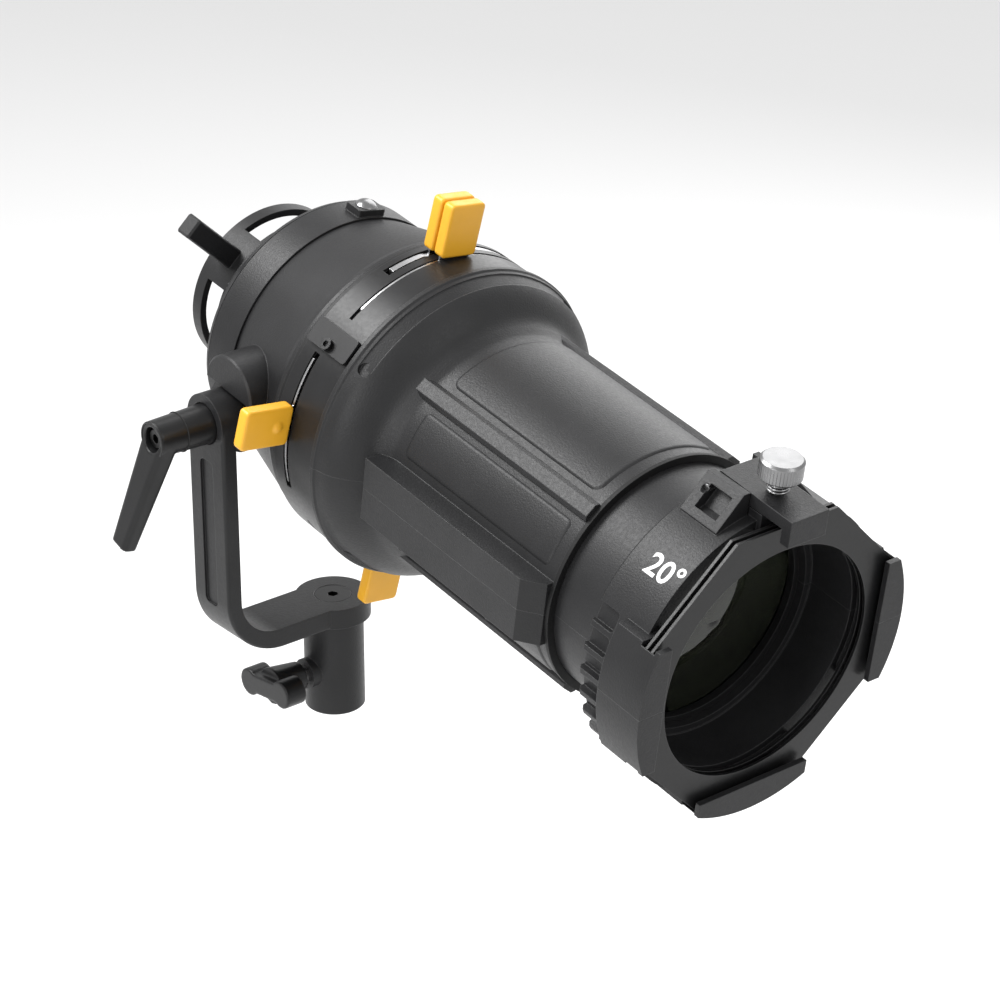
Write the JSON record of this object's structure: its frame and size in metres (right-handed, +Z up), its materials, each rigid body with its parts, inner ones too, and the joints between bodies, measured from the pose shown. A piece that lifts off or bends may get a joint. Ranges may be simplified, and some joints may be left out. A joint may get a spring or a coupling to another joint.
{
  "type": "ellipsoidal spotlight",
  "caption": "Optical spotlight head with framing blades, gobo slot, sliding lens tube and gel holder on a single-arm tilting yoke with a stand socket.",
  "frame": {"origin": "centre of the mouth of the stand socket bore", "axes": "+Z up along the stand socket, the light leaves towards -Y, the yoke arm stands on the -X side"},
  "size_m": [0.2251, 0.3734, 0.2617],
  "materials": {
    "cast_black": "satin black powder coat on cast aluminium",
    "sheet_black": "black painted sheet steel",
    "drum_black": "matt black anodised",
    "shell_plastic": "fine textured black plastic",
    "tube_plastic": "fine textured black plastic",
    "lever_plastic": "black glass-filled nylon",
    "gel_frame_black": "black painted sheet",
    "handle_yellow": "soft yellow moulded plastic",
    "blade_steel": "bright spring steel sheet",
    "gobo_black": "black anodised sheet",
    "zinc_steel": "zinc plated steel",
    "spring_steel": "bright spring wire",
    "polished_metal": "bright nickel plate",
    "brass_bush": "machined brass",
    "washer_nylon": "black nylon",
    "seal_rubber": "matt black rubber",
    "lens_glass": "coated optical glass"
  },
  "bodies": {
    "bracket": {"yoke_bracket": "cast_black", "stand_socket": "cast_black", "socket_bolt": "zinc_steel", "friction_washer": "washer_nylon"},
    "stand_screw": {"stand_screw": "zinc_steel"},
    "wing_knob": {"wing_knob": "lever_plastic"},
    "clamp_insert": {"clamp_stud": "zinc_steel", "lever_bolt": "zinc_steel", "lever_spring": "spring_steel"},
    "clamp_lever": {"clamp_lever": "lever_plastic"},
    "head": {"rear_cover": "cast_black", "mount_spigot": "cast_black", "lock_ring_guide_screws": "zinc_steel", "cover_screws": "zinc_steel", "rear_ring": "cast_black", "ring_lock_screw": "polished_metal", "main_casing": "cast_black", "pivot_bush": "brass_bush", "condenser_cell": "drum_black", "condenser_lens_rear": "lens_glass", "condenser_lens_front": "lens_glass", "condenser_rings": "drum_black", "shutter_drum": "drum_black", "band_upper": "sheet_black", "band_lower": "sheet_black", "band_screws": "zinc_steel", "gobo_guide": "drum_black", "gate_plate_middle": "drum_black", "blade_spacer": "drum_black", "gate_plate_front": "drum_black", "gate_screws": "zinc_steel"},
    "lock_ring": {"lock_ring": "cast_black"},
    "blade_top": {"blade_top": "blade_steel", "blade_top_handle": "handle_yellow"},
    "blade_bottom": {"blade_bottom": "blade_steel", "blade_bottom_handle": "handle_yellow"},
    "blade_left": {"blade_left": "blade_steel", "blade_left_handle": "handle_yellow"},
    "blade_right": {"blade_right": "blade_steel", "blade_right_handle": "handle_yellow"},
    "gobo": {"gobo_holder": "gobo_black", "gobo_handle": "handle_yellow"},
    "barrel": {"front_shell_upper": "shell_plastic", "front_shell_lower": "shell_plastic", "shell_screws": "zinc_steel", "barrel_seal_ring": "seal_rubber"},
    "lens_tube": {"lens_tube_upper": "tube_plastic", "lens_tube_lower": "tube_plastic", "lens_housing_upper": "shell_plastic", "lens_housing_lower": "shell_plastic", "rear_lens": "lens_glass", "front_lens": "lens_glass", "lens_spacer": "drum_black", "lens_retaining_rings": "drum_black", "gel_frames": "gel_frame_black", "gate_pin": "zinc_steel"},
    "gel_gate": {"gel_gate": "shell_plastic", "thumb_spring": "spring_steel"},
    "thumb_screw": {"thumb_screw": "zinc_steel"},
    "thumb_head": {"thumb_head": "polished_metal"}
  },
  "joints": [
    {"name": "head_tilt", "type": "hinge", "parent": "bracket", "child": "head", "pos_m": [0.021, 0, 0.1615], "axis": [-1, 0, 0], "range_deg": [-41, 98]},
    {"name": "clamp_turn", "type": "hinge", "parent": "bracket", "child": "clamp_insert", "pos_m": [0.021, 0, 0.1615], "axis": [1, 0, 0], "range_deg": [-100, 60]},
    {"name": "clamp_lever_pull", "type": "slide", "parent": "clamp_insert", "child": "clamp_lever", "axis": [-1, 0, 0], "range_m": [0, 0.0035], "stiffness_N_per_m": 1500, "deforming": ["lever_spring"]},
    {"name": "stand_screw_feed", "type": "slide", "parent": "bracket", "child": "stand_screw", "axis": [1, 0, 0], "range_m": [-0.0025, 0.0025]},
    {"name": "wing_knob_turn", "type": "hinge", "parent": "stand_screw", "child": "wing_knob", "pos_m": [-0.03, 0, 0.0202], "axis": [1, 0, 0], "range_deg": [-721, 721]},
    {"name": "lock_ring_turn", "type": "hinge", "parent": "head", "child": "lock_ring", "pos_m": [0.021, 0.06316, 0.17836], "axis": [0, -0.9882, -0.153], "range_deg": [-15, 15]},
    {"name": "blade_top_slide", "type": "slide", "parent": "head", "child": "blade_top", "axis": [0.1478, -0.1513, 0.9774], "range_m": [0, 0.033]},
    {"name": "blade_bottom_slide", "type": "slide", "parent": "head", "child": "blade_bottom", "axis": [-0.1478, 0.1513, -0.9774], "range_m": [0, 0.033]},
    {"name": "blade_left_slide", "type": "slide", "parent": "head", "child": "blade_left", "axis": [-0.989, -0.0226, 0.1461], "range_m": [0, 0.033]},
    {"name": "blade_right_slide", "type": "slide", "parent": "head", "child": "blade_right", "axis": [0.989, 0.0226, -0.1461], "range_m": [0, 0.033]},
    {"name": "gobo_slide", "type": "slide", "parent": "head", "child": "gobo", "axis": [0.1478, -0.1513, 0.9774], "range_m": [0, 0.078]},
    {"name": "barrel_turn", "type": "hinge", "parent": "head", "child": "barrel", "pos_m": [0.021, -0.05542, 0.16], "axis": [0, -0.9882, -0.153], "range_deg": [-25, 25]},
    {"name": "focus_slide", "type": "slide", "parent": "barrel", "child": "lens_tube", "axis": [0, -0.9882, -0.153], "range_m": [-0.028, 0.015]},
    {"name": "gate_hinge", "type": "hinge", "parent": "lens_tube", "child": "gel_gate", "pos_m": [0.021, -0.24763, 0.20209], "axis": [-1, 0, 0], "range_deg": [0, 100]},
    {"name": "thumb_screw_feed", "type": "slide", "parent": "gel_gate", "child": "thumb_screw", "axis": [0, 0.153, -0.9882], "range_m": [-0.004, 0.001], "deforming": ["thumb_spring"]},
    {"name": "thumb_head_turn", "type": "hinge", "parent": "thumb_screw", "child": "thumb_head", "pos_m": [0.021, -0.27181, 0.21454], "axis": [0, 0.153, -0.9882], "range_deg": [-1801, 451]}
  ],
  "couplings": [
    {"joint": "wing_knob_turn", "follows": "stand_screw_feed", "rad_per_m": 5026.5},
    {"joint": "thumb_head_turn", "follows": "thumb_screw_feed", "rad_per_m": 7854}
  ]
}
